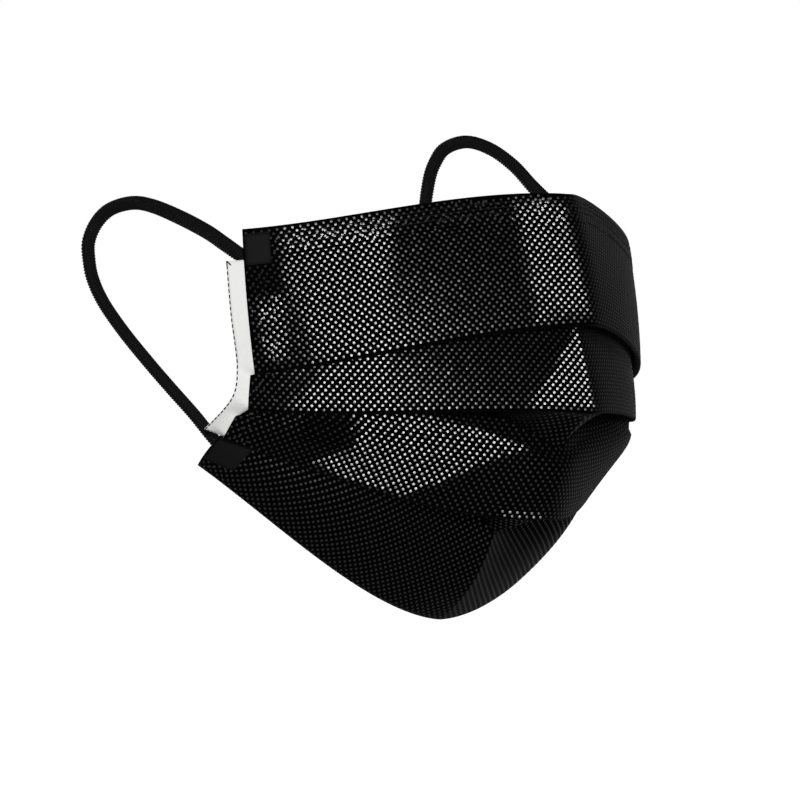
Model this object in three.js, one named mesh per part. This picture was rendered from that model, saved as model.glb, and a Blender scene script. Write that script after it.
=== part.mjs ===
// Black pleated surgical mask in the form it takes when worn: a folded cloth
// body with three pleats that open towards the nose and chin, a folded hem
// along the top edge, a pale band beside each side edge, and two ear loops.
//
// Millimetres, +Z up. The wearer faces -Y and the wearer's left is +X. The
// origin is the inner face of the top edge on the nose bridge, where the mask
// hangs on a face.

import * as THREE from 'three';

// ---------------------------------------------------------------- sizes

const PLY = 1.0;              // thickness of the cloth wall
const AIR = 0.35;             // air between two plies that lie on each other
const HALF_STEPS = 32;        // sections from the centre ridge to a side edge
const RIDGE_CROWDING = 1.35;  // above 1, the sections crowd towards the ridge

const HEM_PLY = 0.6;          // the doubled strip over the top edge
const HEM_DEPTH = 5.0;
const HEM_SIDE_SETBACK = 0.02;  // share of the half width that the hem leaves bare

const BAND_PLY = 0.8;         // the pale strip beside a side edge
const BAND_WIDTH = 4.6;
const BAND_GAP = 0.6;         // between the strip and the body's rim
const BAND_STEPS = 18;
const BAND_BENDS = 4;         // stretches of its smooth outer edge
const BAND_TREND = 0.02;      // share of the half width that gives its sideways direction
const BAND_FROM = 0.10;       // where it starts and ends, as shares of the way
const BAND_TO = 0.83;         // down the side edge

const LOOP_WIDTH = 3.6;       // ear loop, as a plain round cord
const LOOP_SIDES = 8;
const LOOP_STEPS = 40;

// Fold lines, each a curve from the centre ridge to the side edge at +X, and
// mirrored to -X. ridgeTurn and sideTurn are how far the line has turned back
// from the X axis at its two ends, in degrees. ridgeClimb and sideClimb are
// its rise for each millimetre run there. ridgeRound blunts the ridge.
const FOLD_LINES = [
  { name: 'top_edge', ridgeY: -5.0, ridgeZ: 0.0, sideX: 70.6, sideY: 43.8, sideZ: -13.8,
    ridgeTurn: 39, sideTurn: 50, ridgeClimb: -0.05, sideClimb: -0.09, ridgeRound: 3.9 },
  { name: 'pleat_1', ridgeY: -14.0, ridgeZ: -33.3, sideX: 67.6, sideY: 40.6, sideZ: -49.0,
    ridgeTurn: 26.5, sideTurn: 64, ridgeClimb: -0.04, sideClimb: -0.14, ridgeRound: 3.0 },
  { name: 'pleat_2', ridgeY: -16.6, ridgeZ: -56.0, sideX: 67.7, sideY: 42.3, sideZ: -58.2,
    ridgeTurn: 31, sideTurn: 64, ridgeClimb: 0.05, sideClimb: 0.05, ridgeRound: 5.0 },
  { name: 'pleat_3', ridgeY: -6.9, ridgeZ: -83.8, sideX: 68.2, sideY: 50.0, sideZ: -66.0,
    ridgeTurn: 40, sideTurn: 52, ridgeClimb: -0.06, sideClimb: 0.32, ridgeRound: 10.0 },
  { name: 'bottom_edge', ridgeY: 36.3, ridgeZ: -111.6, sideX: 65.5, sideY: 62.2, sideZ: -73.4,
    ridgeTurn: 8, sideTurn: 72, ridgeClimb: 0.04, sideClimb: 0.57, ridgeRound: 15.0 },
];
const HANDLE = 0.34;          // length of a curve's handles, as a share of its plan chord
const TANGENT_STEP = 1e-3;    // step across, for a fold line's direction

// How each pleat folds behind the panel above it. The return is the hidden
// strip from the outer fold to the inner fold; its turn is 90 degrees where it
// lies flat up behind the panel and 0 where it runs straight back. The opening
// ends at shutAt, ease shapes how it closes, and taper how the return narrows.
const PLEATS = [
  { returnMid: 15.0, returnSide: 13.0, turnMid: 72, turnSide: 90, shutAt: 1.0, ease: 1.0, taper: 1 },
  { returnMid: 14.0, returnSide: 5.0, turnMid: -25, turnSide: 90, shutAt: 0.66, ease: 0.9, taper: 2 },
  { returnMid: 18.0, returnSide: 8.5, turnMid: -33, turnSide: 90, shutAt: 0.8, ease: 2.0, taper: 1 },
];
const PLEAT_ROWS = 4;         // points of a section inside each pleat
const TUCK_SOFTNESS = 10;     // how gently a panel leaves the fold above it
const SIDE_PULL = 4;          // a panel leaves it straight down, but for the side edges

// Each panel is cut into strips and swells outward between its folds, by the
// share of its own height that belly gives. A lean below 1 lifts the swell's crest.
const PANELS = [
  { strips: 3, belly: 0.03, lean: 1.0 },
  { strips: 3, belly: 0.02, lean: 1.0 },
  { strips: 4, belly: 0.11, lean: 0.55 },
  { strips: 5, belly: 0.085, lean: 1.0 },
];

// Ear loop routes, from the upper weld round the ear to the lower weld. The
// loop on the wearer's left sits higher, as the mask is worn a little askew.
const RIGHT_LOOP = [
  [-65.2, 41.5, -21.6], [-68.1, 45.7, -19.8], [-69.4, 51.0, -16.9],
  [-69.0, 58.6, -13.7], [-68.0, 69.6, -10.3], [-67.0, 81.4, -7.4], [-66.0, 90.5, -6.6],
  [-65.5, 99.4, -8.3], [-65.5, 104.6, -11.9], [-66.0, 106.9, -16.8], [-66.0, 106.6, -21.5],
  [-66.0, 104.8, -26.7], [-66.0, 100.2, -32.8], [-66.0, 92.1, -40.1], [-66.0, 82.4, -47.6],
  [-65.5, 73.6, -54.4], [-64.4, 66.0, -60.6], [-62.9, 60.2, -66.4], [-61.0, 55.8, -70.9],
];
const LEFT_LOOP = [
  [65.2, 41.5, -21.6], [68.1, 45.7, -19.5], [68.3, 51.0, -15.9],
  [66.6, 58.0, -8.5], [64.6, 65.8, -2.5], [62.8, 72.2, 2.8], [61.3, 78.2, 8.3],
  [59.9, 85.8, 12.7], [59.2, 94.4, 14.6], [59.0, 102.2, 12.8], [59.0, 106.0, 9.0],
  [59.0, 108.2, 3.9], [59.5, 109.9, -5.6], [60.4, 109.2, -13.0], [61.6, 105.6, -22.0],
  [62.9, 98.4, -32.0], [64.0, 89.0, -41.6], [64.6, 78.4, -50.4], [64.4, 68.4, -58.6],
  [62.9, 60.4, -66.0], [61.0, 55.8, -70.9],
];

const BLACK_CLOTH = { color: 0x141416, roughness: 0.55, metalness: 0 };
const PALE_CLOTH = { color: 0xf2f2f2, roughness: 0.8, metalness: 0 };
const BLACK_ELASTIC = { color: 0x1c1c1d, roughness: 0.85, metalness: 0 };

// ---------------------------------------------------------------- the folded form

const LIP = 2 * PLY + AIR;    // an outer fold holds its own wall and the return's
const radians = THREE.MathUtils.degToRad;
const mix = (a, b, share) => a + (b - a) * share;
const onLine = (origin, direction, distance) => origin.clone().addScaledVector(direction, distance);

// The point of a fold line at `across`, from -1 at one side edge to 1 at the other.
function foldLinePoints(line) {
  const reach = Math.hypot(line.sideX, line.sideY - line.ridgeY) * HANDLE;
  const heading = (turn, climb) => new THREE.Vector3(
    Math.cos(radians(turn)), Math.sin(radians(turn)), climb);
  const ridge = new THREE.Vector3(0, line.ridgeY, line.ridgeZ);
  const side = new THREE.Vector3(line.sideX, line.sideY, line.sideZ);
  const curve = new THREE.CubicBezierCurve3(
    ridge, onLine(ridge, heading(line.ridgeTurn, line.ridgeClimb), reach),
    onLine(side, heading(line.sideTurn, line.sideClimb), -reach), side);
  curve.arcLengthDivisions = 400;
  const blunt = Math.tan(radians(line.ridgeTurn));
  return (across) => {
    const point = curve.getPointAt(Math.min(1, Math.abs(across)));
    point.y += blunt * (Math.hypot(point.x, line.ridgeRound) - point.x);
    if (across < 0) point.x = -point.x;
    return point;
  };
}
const foldPoint = FOLD_LINES.map(foldLinePoints);

// Directions at a fold: `along` up the panel above it, `inward` to the wearer.
function foldFrame(line, across, above) {
  const here = foldPoint[line](across);
  const low = Math.max(-1, across - TANGENT_STEP);
  const sideways = foldPoint[line](Math.min(1, low + 2 * TANGENT_STEP)).sub(foldPoint[line](low)).normalize();
  const along = above.clone().sub(here).normalize();
  const inward = along.clone().cross(sideways).normalize();
  return { here, sideways, along, inward };
}

// Adds a panel's inner strips between the row above and the fold below it.
function addPanel(section, above, { here, inward }, { strips, belly, lean }) {
  const swell = belly * above.distanceTo(here);
  for (let strip = 1; strip < strips; strip += 1) {
    const share = strip / strips;
    const rise = share ** lean;
    const point = above.clone().lerp(here, share);
    section.push(point.addScaledVector(inward, -4 * swell * rise * (1 - rise)));
  }
  section.push(here);
}

// Adds a pleat below an outer fold and returns where the next panel comes out.
function addPleat(section, pleat, { here, along, inward }, across, below) {
  const out = Math.abs(across);
  const opening = (1 - Math.min(out / pleat.shutAt, 1)) ** pleat.ease;
  const length = mix(pleat.returnSide, pleat.returnMid, (1 - out) ** pleat.taper);
  const turn = radians(mix(pleat.turnSide, pleat.turnMid, opening));
  const back = onLine(here, inward, LIP);
  const straightBack = new THREE.Vector3(0, inward.y, inward.z).normalize();
  const inner = onLine(onLine(back, along, length * Math.sin(turn)), straightBack, length * Math.cos(turn));
  const crossing = inward.clone().multiplyScalar(Math.sin(turn)).addScaledVector(along, -Math.cos(turn));
  const start = onLine(inner, crossing, AIR);
  const heightAt = (point) => point.clone().sub(here).dot(along);
  const height = heightAt(start);
  const drop = (Math.hypot(height, TUCK_SOFTNESS) + height) / 2;
  const straightDown = onLine(start, along, -drop);
  const towardsBelow = start.clone().lerp(below, drop / (drop - heightAt(below)));
  const exit = straightDown.lerp(towardsBelow, out ** SIDE_PULL);
  const behind = exit.clone().sub(here).dot(inward);
  exit.addScaledVector(inward, Math.max(0, LIP + AIR - behind));
  section.push(back, inner, start, exit);
  return exit;
}

// One section of the body's outer face, from the top edge to the bottom edge.
function bodySection(across) {
  let above = foldPoint[0](across);
  const section = [above];
  PANELS.forEach((panel, index) => {
    const frame = foldFrame(index + 1, across, above);
    addPanel(section, above, frame, panel);
    if (index < PLEATS.length) {
      above = addPleat(section, PLEATS[index], frame, across, foldPoint[index + 2](across));
    }
  });
  return section;
}

// ---------------------------------------------------------------- walls from sections

// How far the inner face lies from each point of a section: a mitre between the
// normals of the two strips that meet there.
function mitres(sections, index, thickness) {
  const before = sections[Math.max(0, index - 1)];
  const after = sections[Math.min(sections.length - 1, index + 1)];
  const section = sections[index];
  const last = section.length - 1;
  const normalOf = (row, from, to) => after[row].clone().sub(before[row])
    .cross(section[to].clone().sub(section[from])).normalize();
  return section.map((point, row) => {
    const above = normalOf(row, Math.max(0, row - 1), Math.max(1, row));
    const below = normalOf(row, Math.min(last - 1, row), Math.min(last, row + 1));
    return above.clone().add(below).multiplyScalar(thickness / (1 + above.dot(below)));
  });
}

// A closed wall of even thickness on the inner side of a row of sections.
function wallGeometry(sections, thickness) {
  const rows = sections[0].length;
  const outer = sections.flat();
  const inner = sections.flatMap((section, index) => {
    const offsets = mitres(sections, index, thickness);
    return section.map((point, row) => point.clone().add(offsets[row]));
  });
  const positions = [...outer, ...inner].flatMap((point) => point.toArray());
  const outside = (section, row) => section * rows + row;
  const inside = (section, row) => outer.length + section * rows + row;
  const triangles = [];
  const quad = (a, b, c, d) => triangles.push(a, b, c, a, c, d);
  for (let section = 0; section < sections.length - 1; section += 1) {
    for (let row = 0; row < rows - 1; row += 1) {
      quad(outside(section, row), outside(section, row + 1),
        outside(section + 1, row + 1), outside(section + 1, row));
      quad(inside(section, row), inside(section + 1, row),
        inside(section + 1, row + 1), inside(section, row + 1));
    }
    quad(outside(section, 0), outside(section + 1, 0), inside(section + 1, 0), inside(section, 0));
    quad(outside(section, rows - 1), inside(section, rows - 1),
      inside(section + 1, rows - 1), outside(section + 1, rows - 1));
  }
  const final = sections.length - 1;
  for (let row = 0; row < rows - 1; row += 1) {
    quad(outside(0, row), inside(0, row), inside(0, row + 1), outside(0, row + 1));
    quad(outside(final, row), outside(final, row + 1), inside(final, row + 1), inside(final, row));
  }
  const geometry = new THREE.BufferGeometry();
  geometry.setAttribute('position', new THREE.Float32BufferAttribute(positions, 3));
  geometry.setIndex(triangles);
  geometry.computeVertexNormals();
  return geometry;
}

function namedMesh(name, geometry, finish) {
  const mesh = new THREE.Mesh(geometry, new THREE.MeshStandardMaterial(finish));
  mesh.name = name;
  return mesh;
}

// ---------------------------------------------------------------- pieces

function sectionStations(count, reach) {
  return Array.from({ length: 2 * count + 1 }, (_, index) => {
    const step = (index - count) / count;
    return reach * Math.sign(step) * Math.abs(step) ** RIDGE_CROWDING;
  });
}

function pleatedBody() {
  const sections = sectionStations(HALF_STEPS, 1).map(bodySection);
  return namedMesh('pleated_body', wallGeometry(sections, PLY), BLACK_CLOTH);
}

// A strip folded over the top edge, which holds the nose wire's channel.
function topHem() {
  const hemSection = (across) => {
    const [top, firstStrip] = bodySection(across);
    const { sideways } = foldFrame(0, across, firstStrip);
    const along = top.clone().sub(firstStrip).normalize();
    const inward = along.clone().cross(sideways).normalize();
    const front = onLine(top, inward, -AIR);
    const back = onLine(top, inward, PLY + AIR);
    return [onLine(front, along, -HEM_DEPTH), onLine(front, along, AIR),
      onLine(back, along, AIR), onLine(back, along, -HEM_DEPTH)];
  };
  const stations = sectionStations(HALF_STEPS, 1 - HEM_SIDE_SETBACK);
  const sections = stations.map(hemSection);
  return namedMesh('top_hem', wallGeometry(sections, HEM_PLY), BLACK_CLOTH);
}

// The visible edge of a section: its points without the hidden pleat returns.
function visibleEdge(across) {
  const section = bodySection(across);
  const edge = [section[0]];
  let next = 1;
  PANELS.forEach(({ strips }, index) => {
    edge.push(...section.slice(next, next + strips));
    next += strips + (index < PLEATS.length ? PLEAT_ROWS : 0);
  });
  const path = new THREE.CurvePath();
  edge.slice(1).forEach((point, index) => path.add(new THREE.LineCurve3(edge[index], point)));
  return path;
}

// A pale strip that carries on the side edge from one ear loop to the other.
function sideBand(name, side) {
  const rim = visibleEdge(side);
  const justInside = visibleEdge(side * (1 - BAND_TREND));
  const edges = (share) => {
    const place = rim.getPoint(share);
    const down = rim.getTangent(share);
    const sideways = place.clone().sub(justInside.getPoint(share)).normalize();
    const root = onLine(place, sideways, BAND_GAP);
    const out = sideways.addScaledVector(down, -sideways.dot(down)).normalize();
    return { root, tip: onLine(root, out, BAND_WIDTH) };
  };
  const shareAt = (index, count) => mix(BAND_FROM, BAND_TO, index / count);
  const tips = new THREE.CatmullRomCurve3(Array.from({ length: BAND_BENDS + 1 },
    (_, index) => edges(shareAt(index, BAND_BENDS)).tip));
  const sections = Array.from({ length: BAND_STEPS + 1 }, (_, index) => {
    const { root } = edges(shareAt(index, BAND_STEPS));
    const tip = tips.getPoint(index / BAND_STEPS);
    return side > 0 ? [tip, root] : [root, tip];
  });
  return namedMesh(name, wallGeometry(sections, BAND_PLY), PALE_CLOTH);
}

function earLoop(name, route) {
  const path = new THREE.CatmullRomCurve3(route.map((point) => new THREE.Vector3(...point)));
  const section = new THREE.Shape();
  for (let corner = 0; corner < LOOP_SIDES; corner += 1) {
    const angle = 2 * Math.PI * corner / LOOP_SIDES;
    const place = [Math.cos(angle), Math.sin(angle)].map((share) => share * LOOP_WIDTH / 2);
    if (corner === 0) section.moveTo(...place);
    else section.lineTo(...place);
  }
  const geometry = new THREE.ExtrudeGeometry(section, {
    steps: LOOP_STEPS, extrudePath: path, curveSegments: 1, bevelEnabled: false });
  return namedMesh(name, geometry, BLACK_ELASTIC);
}

const mask = new THREE.Group();
mask.add(
  pleatedBody(),
  topHem(),
  sideBand('side_band_right', -1),
  sideBand('side_band_left', 1),
  earLoop('ear_loop_right', RIGHT_LOOP),
  earLoop('ear_loop_left', LEFT_LOOP),
);

export default mask;
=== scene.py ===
# %% [markdown]
# # A pleated surgical mask, dressed in Blender
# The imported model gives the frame: the size, the place and the name of every
# piece. This script keeps that frame and lays the real surface over it: thin
# plies of spunbond cloth with their bond points, knitted elastic, welds and
# stitches. Lengths are typed in millimetres and turned to metres by MM.

# %% The frame
import math
import bpy
import numpy as np
from mathutils import Matrix, Vector


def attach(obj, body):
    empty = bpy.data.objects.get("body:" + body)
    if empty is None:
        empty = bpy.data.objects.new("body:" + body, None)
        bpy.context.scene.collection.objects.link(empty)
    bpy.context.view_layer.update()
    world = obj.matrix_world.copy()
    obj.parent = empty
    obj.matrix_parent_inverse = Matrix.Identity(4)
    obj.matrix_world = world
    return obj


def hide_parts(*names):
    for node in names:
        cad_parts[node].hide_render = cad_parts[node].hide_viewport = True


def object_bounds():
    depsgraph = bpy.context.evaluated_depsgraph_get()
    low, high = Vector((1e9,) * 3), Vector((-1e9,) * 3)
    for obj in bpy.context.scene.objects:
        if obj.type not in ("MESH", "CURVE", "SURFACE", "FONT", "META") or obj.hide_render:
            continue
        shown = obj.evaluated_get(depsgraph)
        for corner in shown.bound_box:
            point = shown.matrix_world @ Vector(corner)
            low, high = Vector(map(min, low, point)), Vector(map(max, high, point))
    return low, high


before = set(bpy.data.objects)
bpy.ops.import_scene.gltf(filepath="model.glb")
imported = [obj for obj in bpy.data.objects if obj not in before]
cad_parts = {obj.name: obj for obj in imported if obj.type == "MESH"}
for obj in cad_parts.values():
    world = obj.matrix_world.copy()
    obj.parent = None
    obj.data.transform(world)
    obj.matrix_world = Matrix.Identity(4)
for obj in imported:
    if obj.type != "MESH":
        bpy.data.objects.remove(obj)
cad_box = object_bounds()
MM = 0.001
print("CAD box, mm:", [[round(x / MM, 1) for x in corner] for corner in cad_box])

# %% [markdown]
# ## Camera
# The mask is seen from its wearer's right, at eye level, through a long lens
# that keeps the two ear loops close to the same scale. A camera can be aimed by
# angles or by a look-at constraint. Here its three axes are worked out and put
# in its matrix, because a small roll has to be exact.

# %% Camera
AZIMUTH, ELEVATION, ROLL = math.radians(-44.5), math.radians(0.5), math.radians(2.1)
AIM = Vector((-21.8, 34.1, -55.0)) * MM
CAMERA_DISTANCE = 2.0
LENS_MM = 349.0

level = Vector((math.cos(AZIMUTH), math.sin(AZIMUTH), 0.0))
towards_camera = Vector((math.sin(AZIMUTH) * math.cos(ELEVATION),
                         -math.cos(AZIMUTH) * math.cos(ELEVATION), math.sin(ELEVATION)))
upright = towards_camera.cross(level)
camera_right = level * math.cos(ROLL) + upright * math.sin(ROLL)
camera_up = upright * math.cos(ROLL) - level * math.sin(ROLL)

camera = bpy.data.objects.new("camera", bpy.data.cameras.new("camera"))
camera.data.lens = LENS_MM
camera.data.clip_end = 50.0
camera.matrix_world = Matrix.Translation(AIM + towards_camera * CAMERA_DISTANCE) @ Matrix(
    (camera_right, camera_up, towards_camera)).transposed().to_4x4()
bpy.context.collection.objects.link(camera)
bpy.context.scene.camera = camera
print("camera at", [round(x, 3) for x in camera.matrix_world.translation])

# %% [markdown]
# ## Helpers
# Four small functions serve every piece: colours are typed as sRGB and turned
# linear, nodes are added with their settings and links, and arrays of points
# become meshes.

# %% Colours, nodes and meshes
def linear(hex_colour):
    """An sRGB hex colour as the linear RGBA that a shader socket takes."""
    channels = [int(hex_colour[place:place + 2], 16) / 255 for place in (1, 3, 5)]
    return [c / 12.92 if c <= 0.04045 else ((c + 0.055) / 1.055) ** 2.4 for c in channels] + [1.0]


def add_node(tree, kind, inputs=(), **settings):
    """Adds a node with its settings; an input is a value, or an output to link from."""
    node = tree.nodes.new(kind)
    for name, value in settings.items():
        setattr(node, name, value)
    for name, value in dict(inputs).items():
        if isinstance(value, bpy.types.NodeSocket):
            tree.links.new(value, node.inputs[name])
        else:
            node.inputs[name].default_value = value
    return node


def new_material(name):
    """An empty material, its node tree, and the tree's output."""
    material = bpy.data.materials.new(name)
    material.use_nodes = True
    material.node_tree.nodes.clear()
    return material, material.node_tree, add_node(material.node_tree, "ShaderNodeOutputMaterial")


def mesh_object(name, points, faces, material):
    """A smooth mesh piece from an array of points, in metres, that rides on the mask."""
    mesh = bpy.data.meshes.new(name)
    mesh.from_pydata(points.reshape(-1, 3).tolist(), [], faces)
    mesh.polygons.foreach_set("use_smooth", [True] * len(mesh.polygons))
    mesh.materials.append(material)
    mesh.update()
    piece = bpy.data.objects.new(name, mesh)
    bpy.context.collection.objects.link(piece)
    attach(piece, "root")
    return piece


print("mid grey, as linear light:", round(linear("#808080")[0], 3))

# %% [markdown]
# ## Finishes
# Each finish is named for the real stuff.
#
# Black spunbond polypropylene is a web of melt-spun filaments: matt, nearly
# black, and faintly mottled where the filaments bunch. Its loose filaments
# give it a grey sheen where it is seen edge on. The inner ply is the same cloth
# in white. An image texture could be wrapped on, but noise in the cloth's own
# measure keeps its scale on every panel. A real filament is 0.02 mm thick, too
# fine to show, so bunches of filaments are drawn 0.3 mm apart.

# %% Spunbond cloth
MOTTLE = 2 * MM          # from one darker patch to the next
FILAMENTS = 0.3 * MM     # from one bunch of filaments to the next
FILAMENT_DRAW = 0.35     # below 1, the bunches are drawn out downwards
FILAMENT_RELIEF = 0.1 * MM
POLYPROPYLENE_IOR = 1.49


def spunbond(name, dark, pale, roughness, specular, sheen):
    """Melt-spun filament cloth: mottled in patches, with bunched filaments running down it."""
    material, tree, output = new_material(name)
    place = add_node(tree, "ShaderNodeTexCoord").outputs["Object"]
    patches = add_node(tree, "ShaderNodeTexNoise", {"Vector": place, "Scale": 1 / MOTTLE, "Detail": 3})
    stretch = add_node(tree, "ShaderNodeMapping", {"Vector": place, "Scale": (1.0, 1.0, FILAMENT_DRAW)})
    filaments = add_node(tree, "ShaderNodeTexNoise",
                         {"Vector": stretch.outputs["Vector"], "Scale": 1 / FILAMENTS, "Detail": 5})
    ramp = add_node(tree, "ShaderNodeMix", {"Factor": patches.outputs["Fac"], "A": linear(dark),
                                            "B": linear(pale)}, data_type="RGBA")
    relief = add_node(tree, "ShaderNodeBump", {"Height": filaments.outputs["Fac"],
                                               "Strength": 0.5, "Distance": FILAMENT_RELIEF})
    cloth = add_node(tree, "ShaderNodeBsdfPrincipled", {
        "Base Color": ramp.outputs["Result"], "Roughness": roughness, "IOR": POLYPROPYLENE_IOR,
        "Specular IOR Level": specular, "Sheen Weight": sheen, "Sheen Roughness": 0.4,
        "Normal": relief.outputs["Normal"]})
    tree.links.new(cloth.outputs["BSDF"], output.inputs["Surface"])
    return material


BLACK_SPUNBOND = spunbond("black spunbond polypropylene", "#010101", "#030304", 0.8, 0.02, 0.034)
WHITE_SPUNBOND = spunbond("white spunbond polypropylene", "#f6f6f5", "#fbfbfa", 0.8, 0.15, 0.5)
print("cloths:", BLACK_SPUNBOND.name, "and", WHITE_SPUNBOND.name)

# %% [markdown]
# Where the cloth has been pressed hot, its filaments are melted. A bond point is
# melted right through to a smooth film with a satin gloss. A weld is melted only
# in part, so it stays matt and a little greyer than the cloth. Both are the same
# plastic, so one function makes them and only their gloss differs.

# %% Melted film and pressed welds
MELTED_BLACK = "#161617"
MELT_WAVES = 0.5 * MM    # from one wave in the melted face to the next
MELT_RELIEF = 0.05 * MM


def melted(name, roughness, specular):
    """Black polypropylene after hot pressing, a little uneven."""
    material, tree, output = new_material(name)
    place = add_node(tree, "ShaderNodeTexCoord").outputs["Object"]
    waves = add_node(tree, "ShaderNodeTexNoise", {"Vector": place, "Scale": 1 / MELT_WAVES, "Detail": 2})
    relief = add_node(tree, "ShaderNodeBump", {"Height": waves.outputs["Fac"], "Strength": 0.2,
                                               "Distance": MELT_RELIEF})
    film = add_node(tree, "ShaderNodeBsdfPrincipled", {
        "Base Color": linear(MELTED_BLACK), "Roughness": roughness, "IOR": POLYPROPYLENE_IOR,
        "Specular IOR Level": specular, "Normal": relief.outputs["Normal"]})
    tree.links.new(film.outputs["BSDF"], output.inputs["Surface"])
    return material


MELTED_FILM = melted("melted black polypropylene film", 0.3, 0.75)
PRESSED_WELD = melted("pressed black polypropylene weld", 0.6, 0.05)
print("pressed finishes:", MELTED_FILM.name, "and", PRESSED_WELD.name)

# %% [markdown]
# The ear loops are knitted of black polyester yarn over spandex, and the
# stitches beside the side edges are a black polyester thread. Both are matt,
# with the yarn's fine fuzz, which is only relief here. The knit itself is
# modelled further down.

# %% Yarns
FUZZ = 0.25 * MM         # from one hair of the yarn to the next
FUZZ_RELIEF = 0.1 * MM


def yarn(name, colour, sheen):
    """Black polyester yarn: matt, with fine fuzz."""
    material, tree, output = new_material(name)
    place = add_node(tree, "ShaderNodeTexCoord").outputs["Object"]
    fuzz = add_node(tree, "ShaderNodeTexNoise", {"Vector": place, "Scale": 1 / FUZZ, "Detail": 4})
    relief = add_node(tree, "ShaderNodeBump", {"Height": fuzz.outputs["Fac"], "Strength": 0.7,
                                               "Distance": FUZZ_RELIEF})
    knit = add_node(tree, "ShaderNodeBsdfPrincipled", {
        "Base Color": linear(colour), "Roughness": 0.7, "Specular IOR Level": 0.12,
        "Sheen Weight": sheen, "Normal": relief.outputs["Normal"]})
    tree.links.new(knit.outputs["BSDF"], output.inputs["Surface"])
    return material


KNITTED_ELASTIC = yarn("black knitted elastic", "#0a0a0b", 0.02)
STITCH_THREAD = yarn("black polyester thread", "#0c0c0d", 0.0)
print("yarns:", KNITTED_ELASTIC.name, "and", STITCH_THREAD.name)

# %% [markdown]
# ## Ear loops
# Each loop is one length of knitted elastic, 150 to 185 mm long, welded to the
# inside of the mask at its two ends and held open by an ear. A curve with a
# bevel would give a plain tube. A mesh is swept instead, because the knit's
# slanting ribs are then real relief. The route is the one that the solid model
# follows, and the loop on the wearer's left sits higher.

# %% Routes, in mm, from the upper weld round the ear to the lower weld
LOOP_ROUTES = {
    "right": [
        (-65.2, 41.5, -21.6), (-68.1, 45.7, -19.8), (-69.4, 51.0, -16.9),
        (-69.0, 58.6, -13.7), (-68.0, 69.6, -10.3), (-67.0, 81.4, -7.4), (-66.0, 90.5, -6.6),
        (-65.5, 99.4, -8.3), (-65.5, 104.6, -11.9), (-66.0, 106.9, -16.8), (-66.0, 106.6, -21.5),
        (-66.0, 104.8, -26.7), (-66.0, 100.2, -32.8), (-66.0, 92.1, -40.1), (-66.0, 82.4, -47.6),
        (-65.5, 73.6, -54.4), (-64.4, 66.0, -60.6), (-62.9, 60.2, -66.4), (-61.0, 55.8, -70.9)],
    "left": [
        (65.2, 41.5, -21.6), (68.1, 45.7, -19.5), (68.3, 51.0, -15.9),
        (66.6, 58.0, -8.5), (64.6, 65.8, -2.5), (62.8, 72.2, 2.8), (61.3, 78.2, 8.3),
        (59.9, 85.8, 12.7), (59.2, 94.4, 14.6), (59.0, 102.2, 12.8), (59.0, 106.0, 9.0),
        (59.0, 108.2, 3.9), (59.5, 109.9, -5.6), (60.4, 109.2, -13.0), (61.6, 105.6, -22.0),
        (62.9, 98.4, -32.0), (64.0, 89.0, -41.6), (64.6, 78.4, -50.4), (64.4, 68.4, -58.6),
        (62.9, 60.4, -66.0), (61.0, 55.8, -70.9)],
}
ELASTIC_WIDTH = 4.0      # flattened oval: wide and thin way
ELASTIC_THICKNESS = 3.0
RIB_PITCH = 0.8          # from one slanting rib to the next, along the loop
RIB_RELIEF = 0.17
RIB_SLANTS = 3           # pitches that a rib climbs in one turn round the loop
SWEEP_STEP = 0.16        # five rings to a rib
SWEEP_SIDES = 26
ROUTE_SAMPLES = 60       # of the smooth curve, between two points of a route
TWIST_RATE, TWIST_DELAY = 3, 0.6    # its wide way turns sideways from 0.2 to 0.53 of its length
print("loop routes:", {side: len(points) for side, points in LOOP_ROUTES.items()}, "points")


# %% Swept elastic
def unit(vectors):
    """Vectors of length 1."""
    return vectors / np.linalg.norm(vectors, axis=-1, keepdims=True)


def travelled_along(line):
    """How far along a line each of its points lies."""
    return np.concatenate([[0], np.cumsum(np.linalg.norm(np.diff(line, axis=0), axis=1))])


def smooth_route(points, step):
    """A Catmull-Rom curve through the points, cut into even steps."""
    points = np.array(points, float)
    padded = np.vstack([2 * points[0] - points[1], points, 2 * points[-1] - points[-2]])
    share = np.linspace(0, 1, ROUTE_SAMPLES, endpoint=False)[:, None]
    pieces = []
    for before, start, end, after in zip(padded, padded[1:], padded[2:], padded[3:]):
        pieces.append(0.5 * (2 * start + (end - before) * share
                             + (2 * before - 5 * start + 4 * end - after) * share ** 2
                             + (3 * start - before - 3 * end + after) * share ** 3))
    line = np.vstack([*pieces, points[-1:]])
    travelled = travelled_along(line)
    stops = np.linspace(0, travelled[-1], int(travelled[-1] / step) + 1)
    return np.column_stack([np.interp(stops, travelled, axis) for axis in line.T]), stops


def grid_faces(rows, columns, around=False):
    """Quads of a grid of points, closed around its columns if asked."""
    row, column = np.meshgrid(np.arange(rows - 1), np.arange(columns if around else columns - 1),
                              indexing="ij")
    here = row * columns + column
    beside = row * columns + (column + 1) % columns
    return np.stack([here, beside, beside + columns, here + columns], axis=-1).reshape(-1, 4).tolist()


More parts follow.
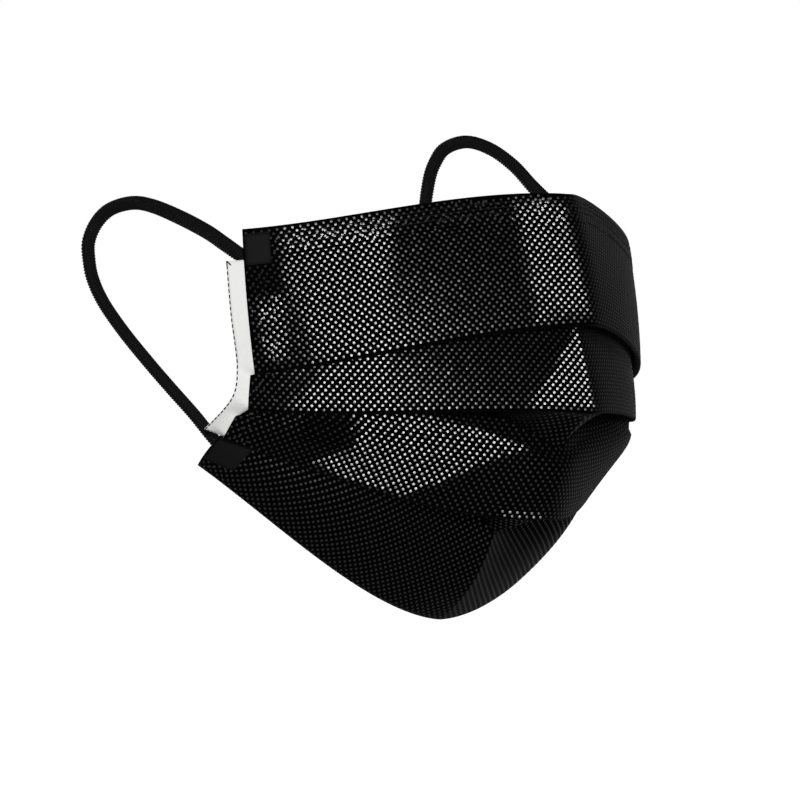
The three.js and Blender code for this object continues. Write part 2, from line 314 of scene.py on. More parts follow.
def ear_loop(side):
    """A flattened elastic swept along its route, with slanting ribs."""
    line, travelled = smooth_route(LOOP_ROUTES[side], SWEEP_STEP)
    tangent = unit(np.gradient(line, axis=0))
    share = (travelled / travelled[-1])[:, None]
    twist = np.clip(TWIST_RATE * share - TWIST_DELAY, 0, 1)
    wide = (1 - twist) * np.cross(tangent, [1.0, 0, 0]) + twist * np.array([1.0, 0, 0])
    wide = unit(wide - tangent * (wide * tangent).sum(axis=1)[:, None])
    thin = np.cross(tangent, wide)
    angle = np.linspace(0, 2 * np.pi, SWEEP_SIDES, endpoint=False)
    phase = 2 * np.pi * travelled[:, None] / RIB_PITCH + RIB_SLANTS * angle[None, :]
    rib = RIB_RELIEF * (np.abs(np.sin(phase / 2)) * 2 - 1)
    rings = (line[:, None]
             + wide[:, None] * ((ELASTIC_WIDTH / 2 - RIB_RELIEF + rib) * np.cos(angle))[..., None]
             + thin[:, None] * ((ELASTIC_THICKNESS / 2 - RIB_RELIEF + rib) * np.sin(angle))[..., None])
    count = len(line)
    faces = grid_faces(count, SWEEP_SIDES, around=True)
    last = (count - 1) * SWEEP_SIDES
    faces += [list(range(SWEEP_SIDES))[::-1], [last + i for i in range(SWEEP_SIDES)]]
    loop = mesh_object(f"elastic_{side}", rings * MM, faces, KNITTED_ELASTIC)
    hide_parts(f"ear_loop_{side}")
    print(f"elastic_{side}: {travelled[-1]:.0f} mm long, {len(faces)} faces")


for side in LOOP_ROUTES:
    ear_loop(side)

# %% [markdown]
# ## The folded cloth
# The body is one rectangle of cloth with three pleats. Its shape comes from
# five fold lines, each drawn from the centre ridge to a side edge, and from how
# each pleat turns behind the panel above it. Cloth simulation could fold it,
# but pressed pleats keep their lines, so the folds are drawn as curves and the
# panels swell between them. The plies are thinner here than the solid wall.

# %% Fold lines, pleats and panels, in mm and degrees
PLY = 0.5                # three plies together
AIR = 0.15               # between two walls that lie on each other
LIP = 2 * PLY + AIR
HANDLE = 0.34            # of a fold line's reach, the length of its curve's handles
# A fold line has the y and z where it crosses the ridge, the point of its side
# end, its headings at both, and how bluntly it is rounded at the ridge.
FOLD_LINES = [
    dict(ridge=(-5.0, -0.8), side=(70.6, 43.8, -13.2),
         turns=(39, 50), climbs=(0.02, -0.12), blunt=3.9),
    dict(ridge=(-14.0, -33.3), side=(67.6, 40.6, -49.0),
         turns=(26.5, 64), climbs=(-0.04, -0.14), blunt=3.0),
    dict(ridge=(-16.6, -56.0), side=(67.7, 42.3, -58.2),
         turns=(31, 64), climbs=(0.05, 0.05), blunt=5.0),
    dict(ridge=(-6.9, -83.8), side=(68.2, 50.0, -66.0),
         turns=(40, 52), climbs=(-0.06, 0.32), blunt=10.0),
    dict(ridge=(36.4, -111.9), side=(65.5, 62.6, -73.5),
         turns=(8, 72), climbs=(0.04, 0.57), blunt=15.0),
]
# A pleat returns so far behind its fold, at the ridge and at the side, turned so
# far from straight back, and is shut from a share across outwards.
PLEATS = [
    dict(returns=(15.0, 13.0), turns=(72, 90), shut_at=1.0, ease=1.0, taper=1),
    dict(returns=(14.0, 5.0), turns=(-25, 90), shut_at=0.66, ease=0.9, taper=2),
    dict(returns=(18.0, 8.5), turns=(-33, 90), shut_at=0.8, ease=2.0, taper=1),
]
# A panel swells by a share of its height, nearer its top where lean is below 1.
PANELS = [
    dict(strips=22, belly=0.03, lean=1.0),
    dict(strips=16, belly=0.02, lean=1.0),
    dict(strips=20, belly=0.11, lean=0.55),
    dict(strips=24, belly=0.085, lean=1.0),
]
TUCK_SOFTNESS = 10.0     # mm over which a drop behind a fold eases in
SIDE_PULL = 4            # how late, going across, a pleat is drawn into the side seam
FOLD_ARC_STEPS = 6
RETURN_STRIPS = 5
FOLD_LINE_SAMPLES = 1201
HALF_STEPS = 110         # columns of the cloth from the ridge to a side edge
RIDGE_CROWDING = 1.25    # above 1, columns crowd towards the ridge
TANGENT_STEP = 1e-3
print(len(FOLD_LINES), "fold lines,", len(PLEATS), "pleats,", len(PANELS), "panels")

# %% [markdown]
# Each fold line is one Bezier curve, rounded where it crosses the ridge. A
# section of the cloth at any share across is then a row of short steps: down a
# panel, round its fold, up behind it and out again to the next panel. A grid of
# such sections is the whole cloth, so no two folds can drift apart.

# %% Fold lines as curves
def mix(start, end, share):
    """What lies at a share of the way from start to end."""
    return start + (end - start) * share


def along_way(start, end, shares):
    """Rows of points between two rows."""
    return [mix(start, end, share) for share in shares]


def fold_line(line, across):
    """The points of a fold line at shares from -1, one side edge, to 1, the other."""
    ridge = np.array([0.0, *line["ridge"]])
    side = np.array(line["side"])
    reach = math.hypot(side[0], side[1] - ridge[1]) * HANDLE
    headings = [np.array([math.cos(math.radians(turn)), math.sin(math.radians(turn)), climb])
                for turn, climb in zip(line["turns"], line["climbs"])]
    handles = [ridge, ridge + headings[0] * reach, side - headings[1] * reach, side]
    t = np.linspace(0, 1, FOLD_LINE_SAMPLES)[:, None]
    curve = sum(weight * point for weight, point in zip(
        [(1 - t) ** 3, 3 * t * (1 - t) ** 2, 3 * t ** 2 * (1 - t), t ** 3], handles))
    travelled = travelled_along(curve)
    stops = np.minimum(np.abs(across), 1) * travelled[-1]
    x, y, z = (np.interp(stops, travelled, axis) for axis in curve.T)
    y = y + math.tan(math.radians(line["turns"][0])) * (np.hypot(x, line["blunt"]) - x)
    return np.column_stack([np.where(across < 0, -x, x), y, z])


print("top edge from", *fold_line(FOLD_LINES[0], np.array([-1.0, 1.0])).round(1).tolist())


# %% Sections of the folded form
def fold_frame(line, across, above):
    """A fold's points, and its directions up the panel above it and inward to the face."""
    here = fold_line(line, across)
    low = np.maximum(-1, across - TANGENT_STEP)
    sideways = unit(fold_line(line, np.minimum(1, low + 2 * TANGENT_STEP)) - fold_line(line, low))
    along = unit(above - here)
    return here, along, unit(np.cross(along, sideways))


def panel_rows(above, here, inward, panel):
    """The rows of a panel from below its top row to the fold at its foot."""
    swell = panel["belly"] * np.linalg.norm(above - here, axis=1, keepdims=True)
    rows = []
    for strip in range(1, panel["strips"] + 1):
        share = strip / panel["strips"]
        rise = share ** panel["lean"]
        rows.append(mix(above, here, share) - inward * 4 * swell * rise * (1 - rise))
    return rows


def pleat_rows(pleat, here, along, inward, across, below):
    """The rounded fold, the return behind it, and the cloth that comes out again."""
    out = np.abs(across)[:, None]
    opening = (1 - np.minimum(out / pleat["shut_at"], 1)) ** pleat["ease"]
    length = mix(pleat["returns"][1], pleat["returns"][0], (1 - out) ** pleat["taper"])
    turn = np.radians(mix(pleat["turns"][1], pleat["turns"][0], opening))
    angles = np.linspace(0, np.pi, FOLD_ARC_STEPS + 1)[1:]
    bend = [here + inward * LIP / 2 * (1 - math.cos(a)) - along * LIP / 2 * math.sin(a) for a in angles]
    back = bend[-1]
    straight_back = unit(inward * [0, 1, 1])
    inner = back + along * length * np.sin(turn) + straight_back * length * np.cos(turn)
    crossing = inward * np.sin(turn) - along * np.cos(turn)
    start = inner + crossing * AIR
    height = ((start - here) * along).sum(axis=1, keepdims=True)
    drop = (np.hypot(height, TUCK_SOFTNESS) + height) / 2
    away = ((below - here) * along).sum(axis=1, keepdims=True)
    straight_down = start - along * drop
    leave = mix(straight_down, mix(start, below, drop / (drop - away)), out ** SIDE_PULL)
    behind = ((leave - here) * inward).sum(axis=1, keepdims=True)
    leave = leave + inward * np.maximum(0, LIP + AIR - behind)
    shares = np.arange(1, RETURN_STRIPS + 1) / RETURN_STRIPS
    return bend, along_way(back, inner, shares), [start, *along_way(start, leave, shares)]


def cloth_form(across):
    """All the rows of the cloth's outer face, and the rows of each stretch between folds."""
    above = fold_line(FOLD_LINES[0], across)
    rows, stretches, stretch = [above], {}, [above]
    for number, panel in enumerate(PANELS, start=1):
        here, along, inward = fold_frame(FOLD_LINES[number], across, above)
        hanging = panel_rows(above, here, inward, panel)
        rows += hanging
        stretches[f"panel_{number}"] = np.array(stretch + hanging)
        if number <= len(PLEATS):
            below = fold_line(FOLD_LINES[number + 1], across)
            bend, back, out = pleat_rows(PLEATS[number - 1], here, along, inward, across, below)
            rows += bend + back + out
            stretches[f"return_{number}"] = np.array([bend[-1], *back])
            stretch, above = out, out[-1]
    return np.array(rows), stretches


steps = np.arange(-HALF_STEPS, HALF_STEPS + 1) / HALF_STEPS
ACROSS = np.sign(steps) * np.abs(steps) ** RIDGE_CROWDING
cloth_rows, stretches = cloth_form(ACROSS)
print("cloth rows:", cloth_rows.shape, "stretches:", {k: v.shape[0] for k, v in stretches.items()})

# %% [markdown]
# ## Plies
# The outer ply lies on the form and the inner, white ply lies 0.3 mm behind it.
# Each could be one thick wall in two colours, but the edges of a real mask show
# its layers. So each is a grid given its own thickness by a Solidify modifier.

# %% Offset rows and plies
SHARPEST_MITRE = 0.5     # keeps the corner of a tight fold from shooting out
OUTER_THICKNESS = 0.2
INNER_DEPTH = 0.3
INNER_THICKNESS = 0.15


def grid_normals(rows):
    """Unit normals of a grid of points, towards the face of the wearer."""
    return unit(np.cross(np.gradient(rows, axis=1), np.gradient(rows, axis=0)))


def set_in(rows, depth):
    """The grid moved inward by depth, with its mitres kept at the folds."""
    before = unit(np.cross(np.gradient(rows, axis=1)[1:], np.diff(rows, axis=0)))
    above = np.concatenate([before[:1], before])
    below = np.concatenate([before, before[-1:]])
    spread = 1 + (above * below).sum(axis=-1, keepdims=True)
    return rows + (above + below) * depth / np.maximum(spread, SHARPEST_MITRE)


def ply(name, rows, thickness, material):
    """A grid of rows, going down, as cloth whose thickness goes inward."""
    faces = [face[::-1] for face in grid_faces(*rows.shape[:2])]
    piece = mesh_object(name, rows * MM, faces, material)
    solidify = piece.modifiers.new("thickness", "SOLIDIFY")
    solidify.thickness = thickness * MM
    solidify.offset = -1.0
    return piece


outer_ply = ply("outer_ply", cloth_rows, OUTER_THICKNESS, BLACK_SPUNBOND)
inner_ply = ply("inner_ply", set_in(cloth_rows, INNER_DEPTH), INNER_THICKNESS, WHITE_SPUNBOND)
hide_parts("pleated_body")
print("plies:", outer_ply.name, "and", inner_ply.name, "of", len(outer_ply.data.polygons), "faces each")

# %% [markdown]
# ## Places on the cloth
# The hem, the welds and the bond points all lie on a panel at so many
# millimetres down from its top and at so large a share of the way across. One
# helper turns those two measures into points and normals.

# %% Points by share across and distance down
def sections_at(rows, across):
    """The sections of a grid of rows at other shares across."""
    column = np.interp(across, ACROSS, np.arange(len(ACROSS)))
    low = np.minimum(column.astype(int), len(ACROSS) - 2)
    return mix(rows[:, low], rows[:, low + 1], (column - low)[:, None])


def drops(rows):
    """How far down the cloth each point of a grid lies from the first row."""
    lengths = np.linalg.norm(np.diff(rows, axis=0), axis=-1)
    return np.concatenate([np.zeros((1, rows.shape[1])), np.cumsum(lengths, axis=0)])


def on_cloth(rows, across, down):
    """Points and outward normals at a grid of distances down and shares across."""
    picked = sections_at(rows, across)
    outward = -sections_at(grid_normals(rows), across)
    fallen = drops(picked)
    at = [[[np.interp(down, fallen[:, i], field[:, i, axis]) for axis in range(3)]
           for i in range(len(across))] for field in (picked, outward)]
    points, normals = (np.moveaxis(np.array(grid), 2, 0) for grid in at)
    return points, unit(normals)


print("panel 1 falls", round(float(drops(stretches["panel_1"])[-1, HALF_STEPS]), 1), "mm at the ridge")

# %% [markdown]
# ## Hem
# Along the top edge a strip of the outer cloth is folded over the edge and
# pressed down, to hold the nose wire. A thick band would look like a rim, so
# it's a second sheet laid a hair above the outer ply, round the edge and down
# the inside. Two lattices of bond points lie on each other there. Its fold
# lines show as three fine pressed ridges.

# %% Folded hem and its ridges
HEM_DEPTH = 7.5
HEM_LIFT = 0.14
HEM_BACK = 0.75          # how far behind the outer face its inner half lies
HEM_THICKNESS = 0.12
HEM_ROWS = 9
HEM_BEND_ROWS = 5
HEM_RIDGES = (1.9, 3.3, 4.8)
RIDGE_RADIUS = 0.13
RIDGES_TO = 0.9          # share across, short of the welds
TUBE_SIDES = 6
ALONG_NO_TUBE = (0.31, 0.17, 0.94)   # any direction that no tube runs in

hem_downs = np.linspace(0, HEM_DEPTH, HEM_ROWS)
hem_points, hem_outward = on_cloth(stretches["panel_1"], ACROSS, hem_downs)
hem_front = hem_points + hem_outward * HEM_LIFT
hem_back = hem_points - hem_outward * HEM_BACK
hem_up = unit(hem_points[0] - hem_points[1])
arc = np.linspace(0, np.pi, HEM_BEND_ROWS + 2)[1:-1, None, None]
hem_middle = (hem_front[0] + hem_back[0]) / 2
hem_bend = (hem_middle + (hem_back[0] - hem_middle) * np.cos(arc)
            + hem_up * (HEM_LIFT + HEM_BACK) / 2 * np.sin(arc))
hem_rows = np.concatenate([hem_back[::-1], hem_bend, hem_front])
hem = ply("folded_hem", hem_rows, HEM_THICKNESS, BLACK_SPUNBOND)
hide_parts("top_hem")
print("hem:", HEM_DEPTH, "mm deep,", len(hem_rows), "rows")


# %% Pressed ridges of the hem
def tubes(name, lines, radius, material):
    """One mesh of closed tubes along lines of points."""
    angle = np.linspace(0, 2 * np.pi, TUBE_SIDES, endpoint=False)
    points, faces, first = [], [], 0
    for line in lines:
        line = np.array(line, float)
        tangent = unit(np.gradient(line, axis=0))
        beside = unit(np.cross(tangent, ALONG_NO_TUBE))
        beyond = np.cross(tangent, beside)
        rings = line[:, None] + radius * (beside[:, None] * np.cos(angle)[:, None]
                                          + beyond[:, None] * np.sin(angle)[:, None])
        points.append(rings.reshape(-1, 3))
        quads = np.array(grid_faces(len(line), TUBE_SIDES, around=True)) + first
        last = first + (len(line) - 1) * TUBE_SIDES
        caps = [[first + i for i in range(TUBE_SIDES)][::-1], [last + i for i in range(TUBE_SIDES)]]
        faces += quads.tolist() + caps
        first += len(line) * TUBE_SIDES
    return mesh_object(name, np.vstack(points) * MM, faces, material)


between_welds = ACROSS[np.abs(ACROSS) < RIDGES_TO]
ridge_points, ridge_outward = on_cloth(stretches["panel_1"], between_welds, HEM_RIDGES)
hem_ridges = tubes("hem_ridges", ridge_points + ridge_outward * HEM_LIFT, RIDGE_RADIUS, PRESSED_WELD)
print("ridges:", len(HEM_RIDGES), "lines of", len(between_welds), "points")

# %% [markdown]
# ## Welds
# At four corners the cloth is pressed hard where an ear loop is welded on
# behind it, so the lattice is gone and the cloth is smooth there. A darker
# patch in the cloth's own material would do from afar. A thin plate laid on the
# cloth has its own edge and finish, and needs no map of the cloth.

# %% Welds at the ends of the ear loops
SIDES = (("right", -1), ("left", 1))
WELD_THICKNESS = 0.06
WELD_STEPS = 9
WELDS = {                # stretch, lift, inner and outer share across, upper and lower distance down
    "upper": ("panel_1", 0.17, 0.92, 0.995, 0.8, 9.0),
    "lower": ("panel_4", 0.04, 0.90, 0.995, 9.0, 19.0),
}


def weld(name, side, stretch, lift, inner, outer, upper, lower):
    """A pressed patch of cloth, a hair above the outer ply."""
    across = np.sort(np.linspace(inner, outer, WELD_STEPS) * side)
    points, outward = on_cloth(stretches[stretch], across, np.linspace(upper, lower, WELD_STEPS))
    piece = ply(name, points + outward * lift, WELD_THICKNESS, PRESSED_WELD)
    print(f"{name}: {lower - upper:.1f} mm tall")


for side_name, side in SIDES:
    for place_name, spans in WELDS.items():
        weld(f"weld_{place_name}_{side_name}", side, *spans)

# %% [markdown]
# ## Side bands
# Beside each side edge a pale strip of the inner cloth stands out from under the
# black, from one ear loop to the other, with a row of black stitches along its
# outer edge and a small stitched fork at the top. Stitches could be dashes in
# the material. They are short tubes of thread, because their length and gap are
# then true along a curved edge.

# %% Side bands
BAND_WIDTH = 4.6
BAND_TUCK = 0.6          # how far the strip reaches in under the side edge
BAND_DEPTH = 0.5
BAND_THICKNESS = 0.3
BAND_TREND = 0.02        # share across by which the cloth's direction at its edge is measured
BAND_FROM, BAND_TO = 0.10, 0.83      # shares down the side edge
BAND_RIM_STEPS = 60
BAND_SPANS = 4           # of the soft curve that its outer edge follows
BAND_EDGE_STEP = 0.2
BAND_COLUMNS = 7
STITCH_LENGTH, STITCH_GAP = 0.85, 0.65
STITCH_RADIUS = 0.17
STITCH_INSET = 0.15      # from the strip's outer edge
STITCH_POINTS = 4
SEAM_START = 1.2         # down the seam to the first stitch
FORK_LENGTH = 1.3
FORK_SPREAD, FORK_DROP = 0.2, 0.9    # shares of the strip's width and of the fork's length


def side_edge(across):
    """The visible edge of a section: its panels without the hidden returns."""
    line = [sections_at(stretches["panel_1"], [across])[0]]
    for number, panel in enumerate(PANELS, start=1):
        line.extend(sections_at(stretches[f"panel_{number}"], [across])[-panel["strips"]:])
    return np.array(line)[:, 0]


def at_shares(line, shares):
    """Points at shares of the length of a line."""
    travelled = travelled_along(line)
    stops = np.array(shares) * travelled[-1]
    return np.column_stack([np.interp(stops, travelled, axis) for axis in line.T])


print("side edge:", round(float(travelled_along(side_edge(1))[-1]), 1), "mm down")


# %% Strips and stitches
def side_band(side_name, side):
    """A pale strip beside a side edge and the stitches on it."""
    shares = np.linspace(BAND_FROM, BAND_TO, BAND_RIM_STEPS + 1)
    rim = at_shares(side_edge(side), shares)
    sideways = unit(rim - at_shares(side_edge(side * (1 - BAND_TREND)), shares))
    down = unit(np.gradient(rim, axis=0))
    out = unit(sideways - down * (sideways * down).sum(axis=1, keepdims=True))
    inward = np.cross(down, out) * -side
    tips = (rim + out * BAND_WIDTH)[::BAND_RIM_STEPS // BAND_SPANS]
    smooth, _ = smooth_route(tips, BAND_EDGE_STEP)
    tip = at_shares(smooth, np.linspace(0, 1, len(rim)))
    root = rim - out * BAND_TUCK + inward * BAND_DEPTH
    columns = [mix(root, tip, share) for share in np.linspace(0, 1, BAND_COLUMNS)]
    rows = np.stack(columns if side > 0 else columns[::-1], axis=1)
    band = ply(f"pale_band_{side_name}", rows, BAND_THICKNESS, WHITE_SPUNBOND)
    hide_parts(f"side_band_{side_name}")
    seam = tip + (root - tip) * STITCH_INSET / BAND_WIDTH
    length = np.linalg.norm(np.diff(seam, axis=0), axis=1).sum()
    starts = np.arange(SEAM_START, length - STITCH_LENGTH, STITCH_LENGTH + STITCH_GAP)
    stitches = [at_shares(seam, np.linspace(start, start + STITCH_LENGTH, STITCH_POINTS) / length)
                for start in starts]
    top, below = seam[0], at_shares(seam, [FORK_LENGTH / length])[0]
    in_the_strip = mix(top, root[0], FORK_SPREAD) + (below - top) * FORK_DROP
    fork = [[top, mix(top, foot, 0.5), foot] for foot in (below, in_the_strip)]
    sewn = tubes(f"stitches_{side_name}", stitches + fork, STITCH_RADIUS, STITCH_THREAD)
    print(f"side band {side_name}: {length:.0f} mm long, {len(stitches)} stitches")
    return [band, sewn]


band_pieces = [piece for side_name, side in SIDES for piece in side_band(side_name, side)]

# %% [markdown]
# Adult masks are cut 175 mm wide, and the folds above use up 164 mm of length.

# %% [markdown]
# ## Bond points
# The filaments are bonded by a heated roller with rows of small studs. Each
# leaves a point of melted film 0.7 mm across, in a diamond lattice 2 mm wide.
# A texture could print them, but they're what the eye sees first, so each is a
# low stud of its own. The lattice starts at the ridge and at the foot of each
# panel, and follows the cloth's own length, so it bends as the cloth bends.

# %% Lattice on a panel
LATTICE_ACROSS = 2.0
LATTICE_DOWN = 1.0       # between rows, each shifted half a step across
POINT_INSET = 0.4        # from the edges of a panel
SEED = 7
dice = np.random.default_rng(SEED)
print("lattice:", LATTICE_ACROSS, "mm across and", LATTICE_DOWN, "mm down")


def lattice(rows, pull=1.0):
    """Points, normals, shares across and distances up and down of a lattice laid on a panel."""
    normals = -grid_normals(rows)
    fallen = drops(rows)
    height = fallen[-1] - fallen
    found = []
    for number, level in enumerate(np.arange(POINT_INSET, height[0].max(), LATTICE_DOWN * pull)):
        line, tilt = (np.array([[np.interp(-level, -height[:, i], field[:, i, axis]) for axis in range(3)]
                                for i in range(rows.shape[1])]) for field in (rows, normals))
        travelled = travelled_along(line)
        travelled -= np.interp(0, ACROSS, travelled)
        first = (LATTICE_ACROSS / 2) * (number % 2)
        leftmost = math.ceil((travelled[0] + POINT_INSET - first) / LATTICE_ACROSS)
        rightmost = math.floor((travelled[-1] - POINT_INSET - first) / LATTICE_ACROSS)
        stops = first + LATTICE_ACROSS * np.arange(leftmost, rightmost + 1)
        tall = np.interp(stops, travelled, height[0])
        stops, tall = stops[tall > level + POINT_INSET], tall[tall > level + POINT_INSET]
        across = np.interp(stops, travelled, ACROSS)
        found.append(np.column_stack(
            [np.interp(stops, travelled, axis) for axis in (*line.T, *tilt.T)]
            + [across, np.full(len(stops), level), tall - level]))
    found = np.vstack(found)
    return dict(places=found[:, 0:3], normals=unit(found[:, 3:6]), across=found[:, 6],
                up=found[:, 7], down=found[:, 8])


def chosen(points, keep):
    """The points of a lattice that a mask keeps."""
    return {name: values[keep] for name, values in points.items()}


# %% [markdown]
# Worn cloth has slow waves over some centimetres. They are too slight to see as
# folds, but they tip whole patches of points towards the light, and only those
# flash white. The other points stay grey. The cloth could be waved, but then its
# folds move too, so the points' own tops are tipped instead, inside outlines
# that are drawn on each panel.

# %% Patches that face the light
FLASH_TURN, FLASH_RISE = math.radians(43), math.radians(5)
FLASH = unit(np.array([-math.sin(FLASH_TURN), -math.cos(FLASH_TURN), math.tan(FLASH_RISE)]))
SLIGHTLY = 0.32          # how far points outside every patch are tipped, where they face the light
FACES_FROM, FACES_RATE = 0.3, 2.0    # how squarely a point must face the light for that
ACROSS_MM, DOWN_MM = 88.0, 28.0      # about half a panel's width, and its height
PATCHES = {              # outlines in shares across and down, softness in mm, and how far tipped
    "panel_1": [
        ([(-0.87, 0), (-0.53, 0), (-0.60, 1), (-0.825, 1)], 11.0, 1.0),
        ([(-0.20, 0), (-0.01, 0), (0.02, 1), (-0.185, 1)], 8.0, 1.0),
        ([(-0.97, 0.5), (-0.89, 0.5), (-0.89, 0.95), (-0.97, 0.95)], 2.0, 0.8),
        ([(-1.1, -0.1), (-0.90, -0.1), (-0.90, 0.45), (-1.1, 0.45)], 3.0, -1.5),
        ([(-0.56, 0.0), (-0.19, 0.0), (-0.17, 1.0), (-0.62, 1.0)], 3.0, 0.4)],
    "panel_2": [
        ([(-0.60, 0), (-0.55, 0), (-0.62, 1), (-0.91, 1)], 8.0, 1.0),
        ([(0.0, 0.33), (0.01, 0.33), (0.02, 1), (-0.21, 1)], 2.0, 1.0)],
    "panel_3": [
        ([(-0.67, 0.20), (-0.09, 0.20), (-0.475, 1.0), (-0.67, 0.95)], 1.5, 0.92),
        ([(-0.67, 0.6), (-0.55, 0.6), (-0.55, 1.0), (-0.77, 0.93)], 1.5, 0.92),
        ([(-0.18, 0.92), (-0.01, 0.92), (-0.01, 1.2), (-0.18, 1.2)], 0.6, 0.85),
        ([(-0.82, 0.2), (-0.70, 0.2), (-0.70, 0.65), (-0.82, 0.65)], 2.0, -1.0)],
}


def within(outline, across, share, softness):
    """How far places lie within a convex outline, from 0 outside it to 1 well inside."""
    depth = np.full(len(across), np.inf)
    for (a0, s0), (a1, s1) in zip(outline, outline[1:] + outline[:1]):
        run, fall = (a1 - a0) * ACROSS_MM, (s1 - s0) * DOWN_MM
        ahead = run * (share - s0) * DOWN_MM - fall * (across - a0) * ACROSS_MM
        depth = np.minimum(depth, ahead / math.hypot(run, fall))
    part = np.clip(depth / softness + 0.5, 0, 1)
    return part * part * (3 - 2 * part)


def flash(name, points):
    """How far each point is tipped towards the light."""
    share = points["down"] / (points["down"] + points["up"])
    tipped = SLIGHTLY * np.clip((points["normals"] @ FLASH - FACES_FROM) * FACES_RATE, 0, 1)
    for outline, softness, fullness in PATCHES.get(name, []):
        part = fullness * within(outline, points["across"], share, softness)
        tipped = np.where(np.abs(part) > np.abs(tipped), part, tipped)
    return tipped


print("outlines of patches:", {name: len(outlines) for name, outlines in PATCHES.items()})

# %% [markdown]
# A stud is a low closed disc with a slightly crowned top and a foot sunk in the
# cloth. Thousands are needed, so all the studs of a panel are worked out at once
# as arrays and made as one mesh. Flat shading keeps each facet's flash crisp.

# %% Studs
POINT_RADIUS = 0.35
POINT_SPREAD = 0.05      # by which radii vary
POINT_RISE = 0.015       # of the rim above the cloth
POINT_CROWN = 0.012      # of the middle above the rim
POINT_FOOT = 0.12        # sunk in the cloth
POINT_SIDES = 6
POINT_JITTER = 0.02      # radians


def studs(name, points, tipped, radius=POINT_RADIUS, stretch=0.0):
    """One mesh of low closed studs whose tops are tipped towards the light."""
    places, normals = points["places"], points["normals"]
    count = len(places)
    tops = unit(normals + (FLASH - normals) * tipped[:, None] + dice.normal(0, POINT_JITTER, (count, 3)))
    first = unit(np.cross(tops, [0.0, 0.0, 1.0]))
    second = np.cross(tops, first)
    spin = dice.uniform(0, 2 * np.pi, count)[:, None]
    reach = radius * dice.uniform(1 - POINT_SPREAD, 1 + POINT_SPREAD, (count, 1, 1))
    long_way = first * np.cos(spin) + second * np.sin(spin)
    cross_way = np.cross(tops, long_way)
    angle = np.linspace(0, 2 * np.pi, POINT_SIDES, endpoint=False)[:, None]
    ring = (long_way[:, None] * np.cos(angle) * (1 + stretch)
            + cross_way[:, None] * np.sin(angle)) * reach
    lean = np.linalg.norm(np.cross(tops, normals), axis=1)
    centre = (places + normals * (POINT_RISE + radius * lean)[:, None])[:, None]
    foot = ring - normals[:, None] * (ring * normals[:, None]).sum(axis=-1, keepdims=True)
    corners = np.concatenate([centre + tops[:, None] * POINT_CROWN, centre + ring,
                              places[:, None] - normals[:, None] * POINT_FOOT + foot], axis=1)
    rim = [(1 + i, 1 + (i + 1) % POINT_SIDES) for i in range(POINT_SIDES)]
    crown = [[0, here, after] for here, after in rim]
    skirt = [[here, here + POINT_SIDES, after + POINT_SIDES, after] for here, after in rim]
    bottom = [[here + POINT_SIDES for here, _ in rim][::-1]]
    each = 1 + 2 * POINT_SIDES
    faces = [[corner + each * number for corner in face] for number in range(count)
             for face in crown + skirt + bottom]
    piece = mesh_object(name, corners * MM, faces, MELTED_FILM)
    piece.data.polygons.foreach_set("use_smooth", [False] * len(piece.data.polygons))
    print(f"{name}: {count} points")


print("a stud has", 1 + 2 * POINT_SIDES, "corners")

# %% [markdown]
# Where two plies are pressed together, along the hem and the side edges, the
# lattice of the second one shows beside the first as small links between the
# points. A second full lattice would look like noise, so only some points get
# such a neighbour, turned now one way and now the other.

# %% Doubled and pressed points
PULLED = {"panel_3": 1.12}   # rows of a lattice drawn apart where the cloth is pulled tight
SIDE_DOUBLED = 0.91      # beyond this share across, two lattices lie on each other
DOUBLED_TO = 0.98        # share across, clear of the side edge
DOUBLED_FROM_EDGE = 1.2  # mm from a panel's top or foot
DOUBLE_SHIFT = 0.62      # from a point to its neighbour of the other lattice
DOUBLE_SHARE = 0.32      # of the points that have one
DOUBLE_RADIUS = 0.22
DOUBLE_STRETCH = 0.5     # by which a link is longer than wide
DOUBLE_TURN = 0.8        # radians to either side
DOUBLE_WAVE_DOWN, DOUBLE_WAVES_ACROSS = 2.3, 70    # mm for a radian of swing, and radians across


def doubled(points, keep):
    """Small points beside some of a lattice's, where a second ply's lattice shows through."""
    some = chosen(points, keep & (dice.random(len(keep)) < DOUBLE_SHARE))
    along = unit(np.cross(some["normals"], [0.0, 0.0, 1.0]))
    up = np.cross(along, some["normals"]) * -1
    wave = np.sin(some["places"][:, 2] / DOUBLE_WAVE_DOWN)
    way = np.sign(np.sin(some["across"] * DOUBLE_WAVES_ACROSS))
    turn = (DOUBLE_TURN * wave + way * DOUBLE_TURN)[:, None]
    some["places"] = some["places"] + (along * np.cos(turn) + up * np.sin(turn)) * DOUBLE_SHIFT
    return some


def welded(name, points):
    """The points that a weld has pressed flat."""
    flat = np.zeros(len(points["across"]), bool)
    for stretch, _, inner, _, upper, lower in WELDS.values():
        if stretch == name:
            between = (points["down"] > upper) & (points["down"] < lower)
            flat |= (np.abs(points["across"]) > inner) & between
    return flat


print(f"{DOUBLE_SHARE:.0%} of the points along the hem and the sides get a neighbour")


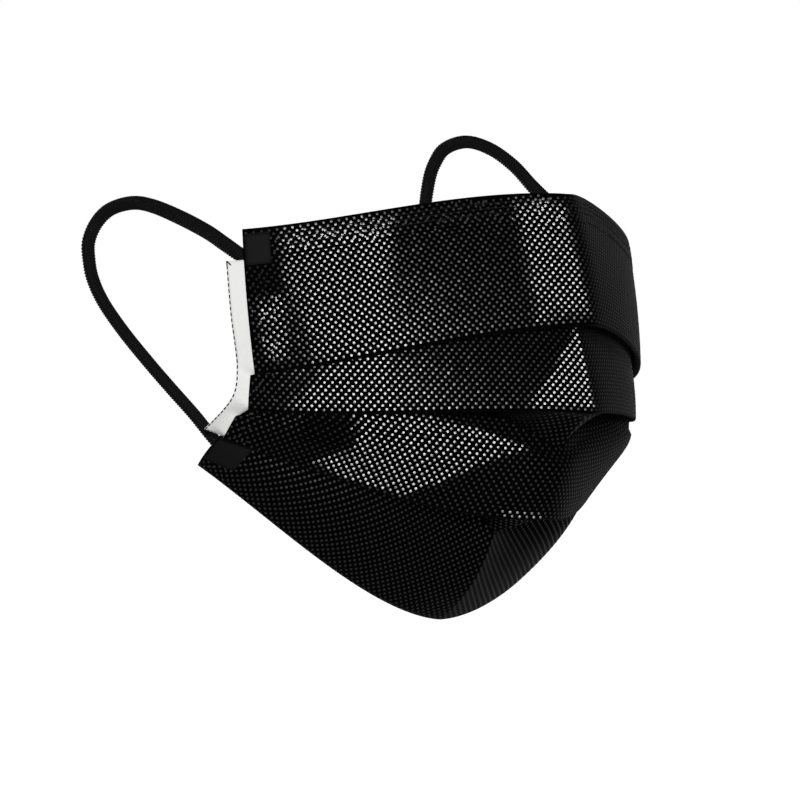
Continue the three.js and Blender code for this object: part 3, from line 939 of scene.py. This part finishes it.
# %% Bond points of each panel
for name, rows in stretches.items():
    points = lattice(rows, PULLED.get(name, 1.0))
    points = chosen(points, ~welded(name, points))
    if name == "panel_1":
        on_hem = points["down"] < HEM_DEPTH
        hem_points = chosen(points, on_hem)
        hem_points["places"] = hem_points["places"] + hem_points["normals"] * HEM_LIFT
        points = chosen(points, ~on_hem)
        studs("bond_points_hem", hem_points, flash(name, hem_points))
        inside = (hem_points["down"] > DOUBLED_FROM_EDGE) & (np.abs(hem_points["across"]) < DOUBLED_TO)
        second = doubled(hem_points, inside)
        studs("bond_points_hem_under", second, flash(name, second), DOUBLE_RADIUS, DOUBLE_STRETCH)
    studs(f"bond_points_{name}", points, flash(name, points))
    if name.startswith("panel"):
        out = np.abs(points["across"])
        near_edge = (out > SIDE_DOUBLED) & (out < DOUBLED_TO) & (points["up"] > DOUBLED_FROM_EDGE)
        second = doubled(points, near_edge)
        studs(f"bond_points_{name}_edge", second, flash(name, second), DOUBLE_RADIUS, DOUBLE_STRETCH)

# %% [markdown]
# ## Stage
# Bright white card all round would be simple, but it would grey every stud. A
# dark, glossy thing is lit in a dim room, with its background lit on its own.
# So the floor and the room look white to the lens, and throw only a little
# light on the mask.

# %% Floor
FLOOR_GLOW, ROOM_GLOW = 0.10, 0.12   # what each throws on the mask, where pure white is 1
FLOOR_BELOW = 0.15       # metres under the mask, which is held up
FLOOR_HALF = 14.0        # metres


def white_paper():
    """Paper that is white to the lens and throws only a little light."""
    material, tree, output = new_material("white paper")
    seen = add_node(tree, "ShaderNodeLightPath").outputs["Is Camera Ray"]
    glow = add_node(tree, "ShaderNodeMix", {"A": FLOOR_GLOW, "B": 1.0, "Factor": seen}, data_type="FLOAT")
    paper = add_node(tree, "ShaderNodeBsdfPrincipled", {
        "Base Color": linear("#949494"), "Roughness": 0.9, "Emission Color": linear("#ffffff"),
        "Emission Strength": glow.outputs["Result"]})
    tree.links.new(paper.outputs["BSDF"], output.inputs["Surface"])
    return material


floor_z = cad_box[0][2] - FLOOR_BELOW
floor_corners = [(x * FLOOR_HALF, y * FLOOR_HALF, floor_z)
                 for x, y in ((-1, -1), (1, -1), (1, 1), (-1, 1))]
floor_mesh = bpy.data.meshes.new("floor")
floor_mesh.from_pydata(floor_corners, [], [(0, 1, 2, 3)])
floor_mesh.materials.append(white_paper())
floor = bpy.data.objects.new("floor", floor_mesh)
bpy.context.collection.objects.link(floor)
print("floor at", round(floor_z, 3), "m")

# %% Room
world = bpy.data.worlds.new("studio")
world.use_nodes = True
bpy.context.scene.world = world
sky = world.node_tree
sky.nodes.clear()
seen = add_node(sky, "ShaderNodeLightPath").outputs["Is Camera Ray"]
glow = add_node(sky, "ShaderNodeMix", {"A": ROOM_GLOW, "B": 1.0, "Factor": seen}, data_type="FLOAT")
room = add_node(sky, "ShaderNodeBackground", {"Color": linear("#ffffff"),
                                              "Strength": glow.outputs["Result"]})
add_node(sky, "ShaderNodeOutputWorld", {"Surface": room.outputs["Background"]})
bpy.context.scene.view_settings.view_transform = "Standard"
print("room:", world.name, "throws", ROOM_GLOW)

# %% [markdown]
# Two softboxes light the mask. A small one stands a little above the camera,
# just where points that face FLASH mirror it to the lens. A broad one stands
# behind, so that the white inside isn't in the dark.

# %% Softboxes
SOFTBOX_DISTANCE = 1.6
KEY_SIZE, KEY_WATTS = 0.25, 17
REAR_SIZE, REAR_WATTS = 0.8, 15
REAR_WAY = (0.15, 1.0, 0.12)


def softbox(name, direction, size, watts):
    """A square area light that faces the mask from a direction."""
    light = bpy.data.lights.new(name, "AREA")
    light.size = size
    light.energy = watts
    lamp = bpy.data.objects.new(name, light)
    way = Vector(direction).normalized()
    lamp.location = AIM + way * SOFTBOX_DISTANCE
    lamp.rotation_euler = way.to_track_quat("Z", "Y").to_euler()
    bpy.context.collection.objects.link(lamp)
    print(f"{name} at", [round(x, 2) for x in lamp.location])


mirrored = 2 * FLASH.dot(towards_camera) * Vector(FLASH) - towards_camera
softbox("key softbox", mirrored, KEY_SIZE, KEY_WATTS)
softbox("rear softbox", REAR_WAY, REAR_SIZE, REAR_WATTS)
